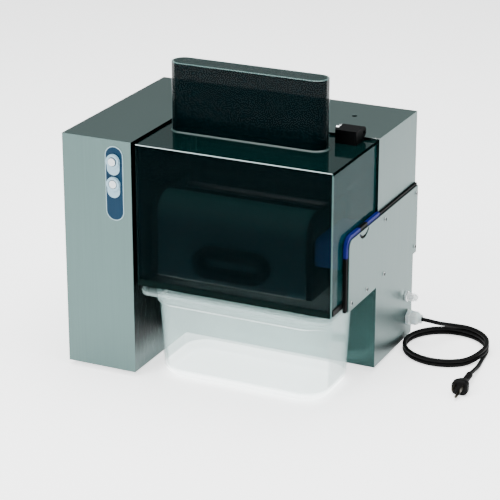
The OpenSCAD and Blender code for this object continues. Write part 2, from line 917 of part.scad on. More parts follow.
module cord_coil() {
    color("black") from_gland() translate(coil_at) rotate_extrude()
        translate([coil_r - cord_dia / 2, 0]) square([cord_dia, coil_layers * cord_dia]);
}

module plug_frame() {
    from_gland() translate(plug_at) rotate([90, 0, plug_yaw]) children();
}

module plug() {
    color("black") plug_frame() {
        cylinder(h = 30, r = 5.5);
        translate([0, 0, 30]) hull() {
            cylinder(h = 1, r = 7);
            translate([-13, -11, 16]) cube([26, 23, 1]);
        }
        translate([-13, -11, 47]) cube([26, 23, 12]);
    }
}

module plug_pins() {
    color("silver") plug_frame() translate([0, 0, 59]) {
        for (s = [-1, 1]) translate([s * 6.35 - 0.75, 1, 0]) cube([1.5, 6.3, 17]);
        translate([0, -6, 0]) cylinder(h = 20, r = 2.4);
    }
}

tower_housing();
rear_housing();
base_plate();
back_panel();
back_panel_screws();
feet();
control_label();
button_plates();
start_button();
stop_button();
switch_blocks();
bearing_plate();
plate_spacer();
side_plate();
side_plate_screws();
cover_rests();
guard_cover();
feed_chute();
hinge_blocks();
hinge_brackets();
hinge_pins();
cover_magnet();
interlock_switch();
left_cheek();
right_cheek();
journal_block();
tie_rods();
comb_bars();
guard_sheet();
grip_ring();
front_roller();
rear_roller();
front_gear();
rear_gear();
drive_coupling();
drive_shaft();
shaft_bearings();
bearing_bracket();
drive_pulley();
drive_belt();
motor_pulley();
gearbox_shaft();
gearbox();
motor_housing();
stator();
rotor();
cooling_fan();
motor_bracket();
capacitor();
control_board();
catch_pan();
reset_button();
reset_nut();
reset_boot();
cable_gland();
cord_lead();
cord_coil();
cord_tail();
plug();
plug_pins();
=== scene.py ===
import json
import math

import bpy
from mathutils import Matrix, Vector

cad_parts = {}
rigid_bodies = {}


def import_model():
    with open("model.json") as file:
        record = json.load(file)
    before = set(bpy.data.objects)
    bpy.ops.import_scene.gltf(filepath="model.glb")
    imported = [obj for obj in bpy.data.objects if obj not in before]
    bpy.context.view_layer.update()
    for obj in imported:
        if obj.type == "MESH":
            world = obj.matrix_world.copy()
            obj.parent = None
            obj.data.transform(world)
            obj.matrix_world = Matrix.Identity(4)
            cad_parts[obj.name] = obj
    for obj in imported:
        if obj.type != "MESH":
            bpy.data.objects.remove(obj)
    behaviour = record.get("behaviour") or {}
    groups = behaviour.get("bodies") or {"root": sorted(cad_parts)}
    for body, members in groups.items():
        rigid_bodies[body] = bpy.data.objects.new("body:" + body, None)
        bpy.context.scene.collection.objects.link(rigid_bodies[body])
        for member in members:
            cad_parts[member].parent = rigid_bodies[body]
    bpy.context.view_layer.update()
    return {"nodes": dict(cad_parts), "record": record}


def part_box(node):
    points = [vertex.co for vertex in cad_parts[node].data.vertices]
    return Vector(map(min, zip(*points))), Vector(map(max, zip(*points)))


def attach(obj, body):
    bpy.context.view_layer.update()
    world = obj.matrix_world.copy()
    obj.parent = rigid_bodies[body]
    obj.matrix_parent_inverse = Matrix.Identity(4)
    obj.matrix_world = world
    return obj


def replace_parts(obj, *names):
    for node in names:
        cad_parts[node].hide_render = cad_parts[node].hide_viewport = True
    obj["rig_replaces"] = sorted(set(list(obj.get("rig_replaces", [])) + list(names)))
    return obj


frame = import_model()
MM = 0.001
TAU = 2 * math.pi


# ---------- camera ----------
def add_camera():
    data = bpy.data.cameras.new("camera")
    data.lens = 147.15
    data.sensor_width = 36
    data.clip_end = 50
    camera = bpy.data.objects.new("camera", data)
    bpy.context.scene.collection.objects.link(camera)
    look = Vector((-0.39804, 0.84421, -0.35806))
    camera.location = Vector((1302.9, -2760.0, 1348.2)) * MM
    camera.rotation_euler = look.to_track_quat("-Z", "Y").to_euler()
    bpy.context.scene.camera = camera


add_camera()


# ---------- cord ----------
CORD_R = 3.5
LEAD = [
    (240, 155.5, 41), (248, 156, 40.5), (257, 160, 38), (265, 168.5, 33.5),
    (270, 180, 28.5), (275.5, 192, 23.5), (285.5, 202, 19.5), (299.5, 207, 17.5),
]
TAIL = [
    (355, 141, 3.5), (356.5, 124, 3.5), (359, 106, 4), (361, 88, 5.5),
    (362.5, 70, 8.5), (363.5, 54, 11), (364, 44, 12),
]
COIL_CENTRE = (288, 141)
COIL_R = 67
COIL_START = 80
COIL_TURNS = 2 + COIL_START / 360
STEPS_PER_TURN = 24


def eased(value, low, high):
    t = min(max((value - low) / (high - low), 0), 1)
    return t * t * (3 - 2 * t)


def strand_height(turn):
    """Height of the coil's strand: each turn lies on the next one down."""
    cross = COIL_START / 360
    drop = sum(eased(turn, cross + k, cross + k + 0.14) for k in (0, 1))
    return CORD_R + 2 * CORD_R * (2 - drop)


def cord_points():
    steps = round(COIL_TURNS * STEPS_PER_TURN)
    coil = []
    for k in range(1, steps):
        turn = COIL_TURNS * k / steps
        angle = math.radians(COIL_START - 360 * turn)
        coil.append((
            COIL_CENTRE[0] + COIL_R * math.cos(angle),
            COIL_CENTRE[1] + COIL_R * math.sin(angle),
            strand_height(turn),
        ))
    return LEAD + coil + TAIL


def add_cord():
    points = cord_points()
    data = bpy.data.curves.new("power_lead", "CURVE")
    data.dimensions = "3D"
    data.bevel_depth = CORD_R * MM
    data.bevel_resolution = 5
    data.resolution_u = 4
    data.use_fill_caps = True
    spline = data.splines.new("BEZIER")
    spline.bezier_points.add(len(points) - 1)
    for knot, place in zip(spline.bezier_points, points):
        knot.co = Vector(place) * MM
        knot.handle_left_type = "AUTO"
        knot.handle_right_type = "AUTO"
    lead = bpy.data.objects.new("power_lead", data)
    bpy.context.scene.collection.objects.link(lead)
    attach(lead, "housing")
    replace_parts(lead, "cord_lead", "cord_coil", "cord_tail")
    return lead


power_lead = add_cord()


# ---------- mesh helpers ----------
def calm():
    """Leaves edit mode and deselects everything."""
    if bpy.context.object and bpy.context.object.mode != "OBJECT":
        bpy.ops.object.mode_set(mode="OBJECT")
    bpy.ops.object.select_all(action="DESELECT")


def only(obj):
    calm()
    obj.select_set(True)
    bpy.context.view_layer.objects.active = obj


def frame_axes(axis):
    """Two directions across an axis, and the axis itself, as a right-handed set."""
    return {
        "x": (Vector((0, 1, 0)), Vector((0, 0, 1)), Vector((1, 0, 0))),
        "y": (Vector((0, 0, 1)), Vector((1, 0, 0)), Vector((0, 1, 0))),
        "z": (Vector((1, 0, 0)), Vector((0, 1, 0)), Vector((0, 0, 1))),
    }[axis]


def turned(centre, axis):
    """Matrix that stands a shape drawn in X and Y, and lofted along Z, on an axis at a centre."""
    u, v, w = frame_axes(axis)
    matrix = Matrix((u, v, w)).transposed().to_4x4()
    matrix.translation = Vector(centre)
    return matrix


def new_mesh(name):
    calm()
    bpy.ops.mesh.primitive_plane_add(size=0.01)
    obj = bpy.context.object
    obj.name = name
    obj.data.name = name
    bpy.ops.object.mode_set(mode="EDIT")
    bpy.ops.mesh.select_all(action="SELECT")
    bpy.ops.mesh.delete(type="VERT")
    return obj


def add_box_loop(section):
    """One rounded rectangle: centre x and y, width, depth, corner radius, height along the loft."""
    x, y, w, d, r, z, steps = section
    bpy.ops.mesh.primitive_plane_add(size=1, location=(0, 0, 0))
    bpy.ops.transform.resize(value=(w, d, 1), center_override=(0, 0, 0))
    bpy.ops.transform.translate(value=(x, y, z))
    bpy.ops.mesh.bevel(offset=r, segments=steps, affect="VERTICES")
    bpy.ops.mesh.delete(type="ONLY_FACE")


def add_ring_loop(section):
    """One circle or polygon: centre x and y, radius, height along the loft, number of corners."""
    x, y, r, z, corners = section
    bpy.ops.mesh.primitive_circle_add(vertices=corners, radius=r, location=(x, y, z))


def loft(name, sections, centre=(0, 0, 0), axis="z", closed=False, angle=35):
    """A skin bridged through its sections, with its two ends filled unless it closes on itself."""
    obj = new_mesh(name)
    counts = []
    for section in sections:
        before = count_vertices(obj)
        if len(section) == 7:
            add_box_loop(section)
        else:
            add_ring_loop(section)
        counts.append((before, count_vertices(obj)))
        bpy.ops.mesh.select_all(action="DESELECT")
    pairs = list(zip(counts, counts[1:]))
    if closed:
        pairs.append((counts[-1], counts[0]))
    for low, high in pairs:
        select_spans(obj, (low, high))
        bpy.ops.mesh.bridge_edge_loops()
    if not closed:
        for end in (counts[0], counts[-1]):
            select_spans(obj, (end,))
            bpy.ops.mesh.edge_face_add()
    bpy.ops.mesh.select_all(action="SELECT")
    bpy.ops.mesh.normals_make_consistent(inside=False)
    bpy.ops.object.mode_set(mode="OBJECT")
    obj.data.transform(turned(centre, axis))
    obj.matrix_world = Matrix.Identity(4)
    shade(obj, angle)
    return obj


def count_vertices(obj):
    obj.update_from_editmode()
    return len(obj.data.vertices)


def select_spans(obj, spans):
    bpy.ops.mesh.select_all(action="DESELECT")
    bpy.ops.object.mode_set(mode="OBJECT")
    for low, high in spans:
        for k in range(low, high):
            obj.data.vertices[k].select = True
    bpy.ops.object.mode_set(mode="EDIT")
    bpy.ops.mesh.select_mode(type="VERT")
    bpy.ops.mesh.select_mode(type="EDGE")


def select_faces(obj, wanted):
    """Edit mode, with only the faces that the test passes selected."""
    only(obj)
    bpy.ops.object.mode_set(mode="EDIT")
    bpy.ops.mesh.select_mode(type="FACE")
    bpy.ops.mesh.select_all(action="DESELECT")
    bpy.ops.object.mode_set(mode="OBJECT")
    for face in obj.data.polygons:
        face.select = wanted(face)
    bpy.ops.object.mode_set(mode="EDIT")


def shade(obj, angle=35):
    """Smooth shading that leaves the wide faces flat."""
    only(obj)
    bpy.ops.object.shade_smooth_by_angle(angle=math.radians(angle))
    modifier = obj.modifiers.new("flat_faces", "WEIGHTED_NORMAL")
    modifier.keep_sharp = True
    modifier.weight = 80
    apply_modifiers(obj)


def apply_modifiers(obj):
    only(obj)
    for modifier in list(obj.modifiers):
        bpy.ops.object.modifier_apply(modifier=modifier.name)


def bevel(obj, width):
    modifier = obj.modifiers.new("edges", "BEVEL")
    modifier.width = width
    modifier.segments = 2
    modifier.limit_method = "ANGLE"
    modifier.angle_limit = math.radians(30)
    modifier.harden_normals = False
    modifier.use_clamp_overlap = True
    apply_modifiers(obj)
    shade(obj)


def join(name, pieces):
    calm()
    for piece in pieces:
        piece.select_set(True)
    bpy.context.view_layer.objects.active = pieces[0]
    bpy.ops.object.join()
    pieces[0].name = name
    pieces[0].data.name = name
    return pieces[0]


def body_of(node):
    for body, nodes in frame["record"]["behaviour"]["bodies"].items():
        if node in nodes:
            return body
    return None


def slot_of(node):
    for row in frame["record"]["subparts"]:
        if row["node"] == node:
            return row["material_slot"]
    return None


def place(obj, node, material):
    """The finished piece takes a node's body, and stands for it."""
    if material:
        obj.data.materials.clear()
        obj.data.materials.append(material)
    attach(obj, body_of(node))
    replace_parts(obj, node)
    slot_of(node)
    return obj


def merged_copy(node, name):
    """A copy of a node's mesh with its corners joined and its flat faces whole."""
    source = frame["nodes"][node]
    obj = bpy.data.objects.new(name, source.data.copy())
    bpy.context.scene.collection.objects.link(obj)
    only(obj)
    bpy.ops.object.mode_set(mode="EDIT")
    bpy.ops.mesh.select_all(action="SELECT")
    bpy.ops.mesh.remove_doubles(threshold=0.00001)
    bpy.ops.mesh.customdata_custom_splitnormals_clear()
    bpy.ops.mesh.dissolve_limited(angle_limit=math.radians(0.5))
    bpy.ops.object.mode_set(mode="OBJECT")
    return obj


def softened(node, width, material):
    """A node's own shape with its edges broken, as a folded, cut or moulded piece has them."""
    obj = merged_copy(node, "soft_" + node)
    bevel(obj, width)
    return place(obj, node, material)


def repaint(obj, material, wanted):
    """A second finish on the faces that the test passes."""
    obj.data.materials.append(material)
    slot_index = len(obj.data.materials) - 1
    for face in obj.data.polygons:
        if wanted(face):
            face.material_index = slot_index


def on_edge(face):
    """A face of a broken edge points along none of the three axes."""
    return max(abs(c) for c in face.normal) < 0.985


def islands(node):
    """The box of each separate solid of a node."""
    obj = merged_copy(node, "islands")
    bpy.ops.object.mode_set(mode="EDIT")
    bpy.ops.mesh.separate(type="LOOSE")
    bpy.ops.object.mode_set(mode="OBJECT")
    parts = list(bpy.context.selected_objects)
    boxes = []
    for part in parts:
        corners = [v.co.copy() for v in part.data.vertices]
        low = Vector([min(c[k] for c in corners) for k in range(3)])
        high = Vector([max(c[k] for c in corners) for k in range(3)])
        boxes.append((low, high))
    for part in parts:
        bpy.data.objects.remove(part)
    return sorted(boxes, key=lambda b: tuple(round(c, 4) for c in b[0]))


def middle(box):
    return (box[0] + box[1]) / 2


def from_axis(point, centre, axis):
    """How far a point stands from an axis that runs through a centre."""
    away = point - centre
    away["xyz".index(axis)] = 0
    return away.length


# ---------- finishes ----------
class Signal:
    """A value that changes over a surface; arithmetic on it adds Math nodes."""

    def __init__(self, finish, socket):
        self.finish = finish
        self.socket = socket

    def math(self, kind, *values):
        inputs = dict(enumerate(values))
        return self.finish.node("ShaderNodeMath", {"operation": kind}, inputs)

    def __add__(self, other):
        return self.math("ADD", self, other)

    def __sub__(self, other):
        return self.math("SUBTRACT", self, other)

    def __mul__(self, other):
        return self.math("MULTIPLY", self, other)


class Finish:
    """One material: a Principled surface, with the patterns that drive it."""

    def __init__(self, name, **constants):
        self.material = bpy.data.materials.new(name)
        self.material.use_nodes = True
        self.tree = self.material.node_tree
        self.surface = self.tree.nodes["Principled BSDF"]
        for key, value in constants.items():
            self.feed(self.surface, key.replace("_", " "), value)

    def feed(self, node, key, value):
        if isinstance(value, Signal):
            self.tree.links.new(value.socket, node.inputs[key])
        elif isinstance(value, tuple) and node.inputs[key].type == "RGBA":
            node.inputs[key].default_value = (*value, 1)
        else:
            node.inputs[key].default_value = value

    def node(self, kind, settings=(), inputs=(), output=0):
        node = self.tree.nodes.new(kind)
        for key, value in dict(settings).items():
            if key == "stops":
                shape_ramp(node.color_ramp, value)
            else:
                setattr(node, key, value)
        for key, value in dict(inputs).items():
            self.feed(node, key, value)
        return Signal(self, node.outputs[output])

    def drive(self, **signals):
        for key, value in signals.items():
            self.feed(self.surface, key.replace("_", " "), value)

    def grain(self, stretch, detail=2):
        """Noise on the object's own coordinates, with a stretch for each axis."""
        place_on = self.node("ShaderNodeTexCoord", {}, {}, "Object")
        mapped = self.node("ShaderNodeMapping", {}, {"Vector": place_on, "Scale": stretch})
        return self.node(
            "ShaderNodeTexNoise", {},
            {"Vector": mapped, "Scale": 1, "Detail": detail, "Roughness": 0.6},
        )

    def ramp(self, value, stops):
        return self.node("ShaderNodeValToRGB", {"stops": stops}, {"Fac": value})

    def relief(self, height, distance):
        normal = self.node(
            "ShaderNodeBump", {}, {"Height": height, "Distance": distance, "Strength": 1},
        )
        self.drive(Normal=normal)


def shape_ramp(ramp, stops):
    while len(ramp.elements) < len(stops):
        ramp.elements.new(0.5)
    for element, (position, colour) in zip(ramp.elements, stops):
        element.position = position
        element.color = (*colour, 1)


FINISHES = {}
ROUGHNESS_SWING = 0.1
SHEET_GRAIN = (600, 600, 9)
FINE_GRAIN = (900, 900, 900)
FINE_RELIEF = 0.00004


def shade_pair(colour, spread):
    """The darker and the lighter stop round a colour."""
    low = tuple(c * (1 - spread) for c in colour)
    high = tuple(min(c * (1 + spread), 1) for c in colour)
    return ((0.3, low), (0.7, high))


def brushed(name, colour, roughness, stretch, spread=0.06):
    """Metal with fine lines along it and a slow change of tone over it."""
    finish = Finish(name, Metallic=1.0)
    lines = finish.grain(stretch)
    clouds = finish.grain((9, 9, 9), 3)
    blend = lines * 0.75 + clouds * 0.25
    finish.drive(Base_Color=finish.ramp(blend, shade_pair(colour, spread)))
    finish.drive(Roughness=lines * 0.14 + (roughness - 0.07))
    finish.relief(lines, 0.00003)
    FINISHES[name] = finish.material


def speckle(finish, roughness, grain=FINE_GRAIN):
    """A fine texture that shows in the gloss and the relief."""
    specks = finish.grain(grain)
    finish.drive(Roughness=specks * ROUGHNESS_SWING + (roughness - ROUGHNESS_SWING / 2))
    finish.relief(specks, FINE_RELIEF)


def moulded(name, colour, roughness, spread=0.05, **constants):
    """Plastic, rubber, paint or a casting: one tone, with a fine texture."""
    finish = Finish(name, **constants)
    finish.drive(Base_Color=finish.ramp(finish.grain((20, 20, 20)), shade_pair(colour, spread)))
    speckle(finish, roughness)
    FINISHES[name] = finish.material


def glassy(name, colour, roughness, alpha, contour=None, turned_from=0.7, **constants):
    """A see-through sheet with a faint haze of wear; contour is a colour painted on where the sheet
    is seen edge-on.
    """
    turned_to = 0.88
    finish = Finish(name, Base_Color=colour, **constants)
    haze = finish.grain((14, 14, 14), 4)
    finish.drive(Roughness=haze * 0.06 + roughness)
    if contour:
        facing = finish.node("ShaderNodeLayerWeight", {}, {"Blend": 0.5}, 1)
        edge = finish.ramp(facing, ((turned_from, (0, 0, 0)), (turned_to, (1, 1, 1))))
        stops = ((turned_from, colour), (turned_to, contour))
        finish.drive(Base_Color=finish.ramp(facing, stops))
        finish.drive(Alpha=edge * 0.5 + (haze * 0.04 + alpha))
    else:
        finish.drive(Alpha=haze * 0.04 + alpha)
    FINISHES[name] = finish.material


def graded(
    name, low_colour, high_colour, low_z, high_z, roughness, grain=FINE_GRAIN, **constants
):
    """A sheet whose colour changes between two heights, used here for painted shade and a painted
    highlight.
    """
    finish = Finish(name, **constants)
    place_on = finish.node("ShaderNodeTexCoord", {}, {}, "Object")
    height = finish.node("ShaderNodeSeparateXYZ", {}, {"Vector": place_on}, "Z")
    share = (height - low_z) * (1 / (high_z - low_z))
    finish.drive(Base_Color=finish.ramp(share, ((0.0, low_colour), (1.0, high_colour))))
    speckle(finish, roughness, grain)
    FINISHES[name] = finish.material


GUARD_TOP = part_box("guard_sheet")[1].z

brushed("steel", (0.084, 0.13, 0.125), 0.36, SHEET_GRAIN)
# The rear housing's face in the bay: smoother steel painted darker, a painted shade under the cover.
brushed("shaded_bay_steel", (0.02, 0.042, 0.04), 0.24, SHEET_GRAIN)
# The tower's wall in the bay: darker towards the top, a painted shade under the cover, and lighter
# at its foot, a painted reflection.
graded(
    "bay_wall_shade_and_reflection", (0.06, 0.1, 0.097), (0.0012, 0.004, 0.004), 0.0, 0.062, 0.28,
    SHEET_GRAIN, Metallic=1.0,
)
brushed("steel_parts", (0.36, 0.39, 0.39), 0.3, (60, 1200, 1200))
moulded("cast_metal", (0.22, 0.23, 0.235), 0.5, Metallic=1.0)
brushed("aluminium", (0.5, 0.52, 0.53), 0.32, (500, 500, 60))
brushed("chrome_parts", (0.62, 0.64, 0.64), 0.14, (300, 300, 300), 0.03)
brushed("brass_pins", (0.05, 0.045, 0.035), 0.35, (300, 60, 300))
brushed("copper", (0.5, 0.22, 0.11), 0.35, (40, 1500, 1500))
moulded("motor_paint", (0.10, 0.11, 0.115), 0.45)
glassy(
    "smoked_clear", (0.0001, 0.0011, 0.0015), 0.02, 0.67, Specular_IOR_Level=0.02,
    Specular_Tint=(0.6, 1.0, 1.0),
)
# The cover's band below the guard: a darker, more opaque copy of the sheet, a painted shade.
glassy("smoked_low_shade", (0.0002, 0.0042, 0.0036), 0.02, 0.94, Specular_IOR_Level=0.02)
# The cover's top: a lighter, glossier copy of the sheet, a painted sheen.
glassy(
    "smoked_top_sheen", (0.0002, 0.007, 0.0066), 0.04, 0.7, Specular_IOR_Level=0.36,
    Specular_Tint=(0.4, 1.0, 0.95),
)
# The chute's lighter colour where its walls are seen edge-on is a painted highlight on its curved
# ends.
glassy(
    "smoked_chute", (0.0001, 0.003, 0.0036), 0.02, 0.73, (0.12, 0.2, 0.2), 0.8,
    Specular_IOR_Level=0.02,
)
glassy("dark_band", (0.0003, 0.001, 0.001), 0.4, 0.95, Specular_IOR_Level=0.0, IOR=1.0)
glassy("bead_edge", (0.02, 0.045, 0.042), 0.3, 0.8)
# The cover's side walls: a lighter teal copy of the sheet, a painted reflection.
glassy("lit_smoked_side", (0.002, 0.026, 0.027), 0.05, 0.68, Specular_IOR_Level=0.024)
glassy("smoked_edge", (0.05, 0.1, 0.095), 0.22, 0.8)
glassy("sheet_end", (0.05, 0.11, 0.105), 0.5, 0.85, Specular_IOR_Level=0.1)
# A near-white painted glint for the cover's front top edge.
glassy("painted_glint_edge", (0.5, 0.6, 0.6), 0.15, 0.85)
glassy(
    "clear_plastic", (0.6, 0.8, 0.78), 0.12, 0.2, (0.06, 0.11, 0.11), 0.52,
    Specular_IOR_Level=0.4,
)
# The pan's floor is given a white glow, a painted light.
glassy(
    "glowing_pan_floor", (0.95, 1.0, 1.0), 0.2, 0.35, Emission_Color=(0.95, 1.0, 0.99),
    Emission_Strength=2.5,
)
# The pan's rim: a darker copy of its clear plastic, a painted shade.
glassy("shaded_rim_clear", (0.34, 0.46, 0.45), 0.1, 0.22)
# A near-white line along the pan's step, a painted highlight.
glassy("step_highlight", (0.95, 1.0, 1.0), 0.1, 0.7)
# The guard sheet is lighter towards its curved top, a painted highlight.
graded(
    "guard_tint", (0.018, 0.135, 0.175), (0.12, 0.52, 0.5), GUARD_TOP - 0.04, GUARD_TOP, 0.35,
)
moulded("hem_glint", (0.9, 1.0, 1.0), 0.3)
glassy("boot_clear", (0.75, 0.8, 0.8), 0.1, 0.4)
moulded("black_plastic", (0.0008, 0.001, 0.0012), 0.5, Specular_IOR_Level=0.05)
# The blue is darkened to deep navy, a painted shade on the plate's rim.
moulded("blue_plastic", (0.003, 0.006, 0.11), 0.5, Specular_IOR_Level=0.1)
moulded("journal_blue", (0.04, 0.24, 0.9), 0.4)
# A darker copy of the steel for the right-hand sides, a painted shade.
brushed("shaded_side_steel", (0.056, 0.098, 0.094), 0.36, SHEET_GRAIN)
moulded("white_plastic", (0.5, 0.57, 0.57), 0.35, Subsurface_Weight=0.1)
moulded("label_blue", (0.002, 0.02, 0.045), 0.5, Specular_IOR_Level=0.1)
moulded("label_edge", (0.22, 0.33, 0.36), 0.4)
moulded("button_plate", (0.2, 0.34, 0.42), 0.3)
moulded("button_cap", (0.5, 0.55, 0.57), 0.15, Coat_Weight=0.8)
moulded("grey_plastic", (0.12, 0.125, 0.13), 0.45)
moulded("rubber_black", (0.008, 0.008, 0.009), 0.6)
moulded("cord_rubber", (0.0012, 0.0012, 0.0013), 0.6, Specular_IOR_Level=0.08)
moulded("board_green", (0.01, 0.12, 0.045), 0.4)


def finish_of(node):
    return FINISHES[slot_of(node)]


power_lead.data.materials.append(FINISHES["cord_rubber"])


# ---------- sheet-metal and moulded pieces that keep the frame's shape ----------
SOFT_EDGES = {
    "tower_housing": 0.0011, "rear_housing": 0.0011, "back_panel": 0.0004,
    "bearing_plate": 0.0008, "plate_spacer": 0.0004, "side_plate": 0.0004,
    "cover_rests": 0.0008, "guard_cover": 0.0014, "hinge_blocks": 0.004,
    "hinge_brackets": 0.0004, "hinge_pins": 0.0007, "cover_magnet": 0.0012,
    "interlock_switch": 0.0012, "left_cheek": 0.0008, "right_cheek": 0.0008,
    "journal_block": 0.0018, "guard_sheet": 0.0004, "drive_coupling": 0.0008,
    "button_plates": 0.0006, "gearbox": 0.0015, "motor_housing": 0.0015,
    "capacitor": 0.002, "switch_blocks": 0.001, "drive_pulley": 0.001,
    "motor_pulley": 0.001, "tie_rods": 0.0005, "control_board": 0.0003,
}
kept_shapes = {
    node: softened(node, width, finish_of(node)) for node, width in SOFT_EDGES.items()
}


def split(obj, spot, normal):
    """Cuts every face along a plane, without taking anything away."""
    only(obj)
    bpy.ops.object.mode_set(mode="EDIT")
    bpy.ops.mesh.select_all(action="SELECT")
    bpy.ops.mesh.bisect(plane_co=spot, plane_no=normal)
    bpy.ops.object.mode_set(mode="OBJECT")
    shade(obj)


def paint_cover(cover):
    """The front and top sheets lie over the ends of the side sheets, so their cut ends show."""
    low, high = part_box("guard_cover")
    sheet, front_sheet, corner, skin = 0.0045, 0.0065, 0.0015, 0.0002
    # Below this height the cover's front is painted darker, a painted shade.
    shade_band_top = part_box("guard_sheet")[0].z + 0.002
    split(cover, (0, low.y + sheet, 0), (0, 1, 0))
    split(cover, (0, 0, high.z - sheet), (0, 0, 1))
    split(cover, (0, 0, shade_band_top), (0, 0, 1))

    def outside(face):
        return min(abs(face.center.x - x) for x in (low.x, high.x)) < skin

    def at_front(face):
        return face.center.y < low.y + corner

    def at_right(face):
        return face.center.x > high.x - corner

    def top_edge(face):
        return on_edge(face) and face.center.z > high.z - corner

    def front_corner(face):
        return on_edge(face) and face.center.z < high.z - corner and at_front(face)

    for finish, wanted in (
        # painted shade on the band below the guard
        ("smoked_low_shade", lambda f: f.center.z < shade_band_top and f.center.y < low.y + front_sheet),
        # painted sheen on the top
        ("smoked_top_sheen", lambda f: f.normal.z > 0.9 and f.center.z > high.z - skin),
        # painted reflection on the side walls
        ("lit_smoked_side", outside),
        ("sheet_end", lambda f: outside(f) and f.center.y < low.y + sheet),
        ("dark_band", lambda f: outside(f) and f.center.z > high.z - sheet),
        # painted glint along the front top edge
        ("painted_glint_edge", lambda f: top_edge(f) and at_front(f)),
        ("dark_band", lambda f: top_edge(f) and at_right(f)),
        ("sheet_end", lambda f: front_corner(f) and at_right(f)),
    ):
        repaint(cover, FINISHES[finish], wanted)


def paint_bay():
    """The bay's walls take smoother steel painted darker, a painted shade under the cover, with a
    painted reflection at the tower wall's foot; the right-hand sides take a darker copy, a painted
    shade; and the housing's top edge beside the bay has a painted highlight.
    """
    bay_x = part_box("tower_housing")[1].x
    bay_y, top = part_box("rear_housing")[0].y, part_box("rear_housing")[1].z
    skin, edge = 0.0001, 0.0015
    tower, rear = kept_shapes["tower_housing"], kept_shapes["rear_housing"]
    # painted shade, with a painted reflection at the foot, on the tower's wall in the bay
    repaint(
        tower, FINISHES["bay_wall_shade_and_reflection"],
        lambda face: face.normal.x > 0.9 and face.center.x > bay_x - skin,
    )
    # painted shade on the housing's face in the bay
    repaint(
        rear, FINISHES["shaded_bay_steel"],
        lambda face: face.normal.y < -0.9 and face.center.y < bay_y + skin,
    )
    # painted shade on the right-hand sides
    for piece in (kept_shapes["side_plate"], rear):
        repaint(piece, FINISHES["shaded_side_steel"], lambda face: face.normal.x > 0.9)
    # painted highlight: the housing's top front edge beside the bay takes the brighter chrome
    repaint(
        rear, FINISHES["chrome_parts"],
        lambda face: on_edge(face) and face.center.z > top - edge
        and face.center.y < bay_y + edge,
    )


def paint_cartridge():
    """The sheet's hem is painted near-white, a painted glint, and the block beside it is the
    brighter blue.
    """
    sheet = kept_shapes["guard_sheet"]
    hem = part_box("guard_sheet")[0].z + 0.0014
    split(sheet, (0, 0, hem), (0, 0, 1))
    # painted glint along the hem
    repaint(sheet, FINISHES["hem_glint"], lambda face: face.center.z < hem)
    repaint(kept_shapes["journal_block"], FINISHES["journal_blue"], lambda face: True)


def paint_rim():
    """Black is painted over the blue plate's rim as painted shade, apart from its top corner and its
    rear end.
    """
    rim = kept_shapes["bearing_plate"]
    low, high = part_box("bearing_plate")
    shade_top = middle((low, high)).z + 0.028
    shade_from, shade_to = (low.y + (high.y - low.y) * share for share in (0.4, 0.62))
    split(rim, (0, 0, shade_top), (0, 0, 1))
    split(rim, (0, shade_from, 0), (0, 1, 0))
    split(rim, (0, shade_to, 0), (0, 1, 0))
    # painted shade on the rim
    repaint(
        rim, FINISHES["black_plastic"],
        lambda face: face.center.z < shade_top or shade_from < face.center.y < shade_to,
    )


paint_cover(kept_shapes["guard_cover"])
paint_bay()
paint_cartridge()
paint_rim()


# ---------- catch pan ----------
def add_pan():
    low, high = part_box("catch_pan")
    x, y = middle((low, high))[:2]
    width, depth = (high - low)[:2]

    def ring(inset, z, radius, steps=10):
        return (x, y, width - 2 * inset, depth - 2 * inset, radius, z, steps)

    rim, wall, top = 0.013, 0.0026, high.z
    step_z, flange, skirt_z = top - 0.024, 0.0067, 0.0145
    outside = [
        ring(rim + 0.021, 0.0, 0.030), ring(rim + 0.0155, 0.0022, 0.036),
        ring(rim + 0.0105, 0.0075, 0.038), ring(rim + 0.0085, 0.014, 0.038),
        ring(rim + 0.0035, step_z - 0.0012, 0.038), ring(rim + 0.0022, step_z, 0.038),
        ring(rim + 0.0007, step_z + 0.0012, 0.038), ring(rim + 0.0002, top - 0.006, 0.037),
        ring(rim - 0.003, top - 0.0038, 0.034), ring(0.0016, top - 0.0034, 0.0225),
        ring(0.0015, top - 0.0062, 0.0225), ring(0.0002, top - 0.0064, 0.022),
        ring(0, top - 0.0012, 0.022), ring(0.001, top, 0.0225),
        ring(rim - 0.0035, top, 0.034), ring(rim + 0.0005, top - 0.001, 0.036),
    ]
    inside = [
        ring(rim + wall, top - 0.0045, 0.036), ring(rim + wall + 0.0004, step_z + 0.003, 0.036),
        ring(rim + wall + 0.0035, step_z, 0.036), ring(rim + wall + 0.0085, 0.016, 0.036),
        ring(rim + wall + 0.011, 0.0085, 0.035), ring(rim + wall + 0.016, 0.0045, 0.033),
        ring(rim + wall + 0.022, 0.003, 0.028),
    ]
    pan = loft("pan_shell", outside + inside, angle=50)
    place(pan, "catch_pan", FINISHES["clear_plastic"])
    # painted shade on the rim
    repaint(pan, FINISHES["shaded_rim_clear"], lambda face: face.center.z > top - flange)
    # painted light: the pan's floor glows
    repaint(
        pan, FINISHES["glowing_pan_floor"],
        lambda face: face.center.z < skirt_z and abs(face.normal.z) > 0.25,
    )
    # painted highlight along the step
    repaint(
        pan, FINISHES["step_highlight"],
        lambda face: abs(face.center.z - step_z) < 0.0009 and abs(face.normal.z) > 0.3,
    )


add_pan()


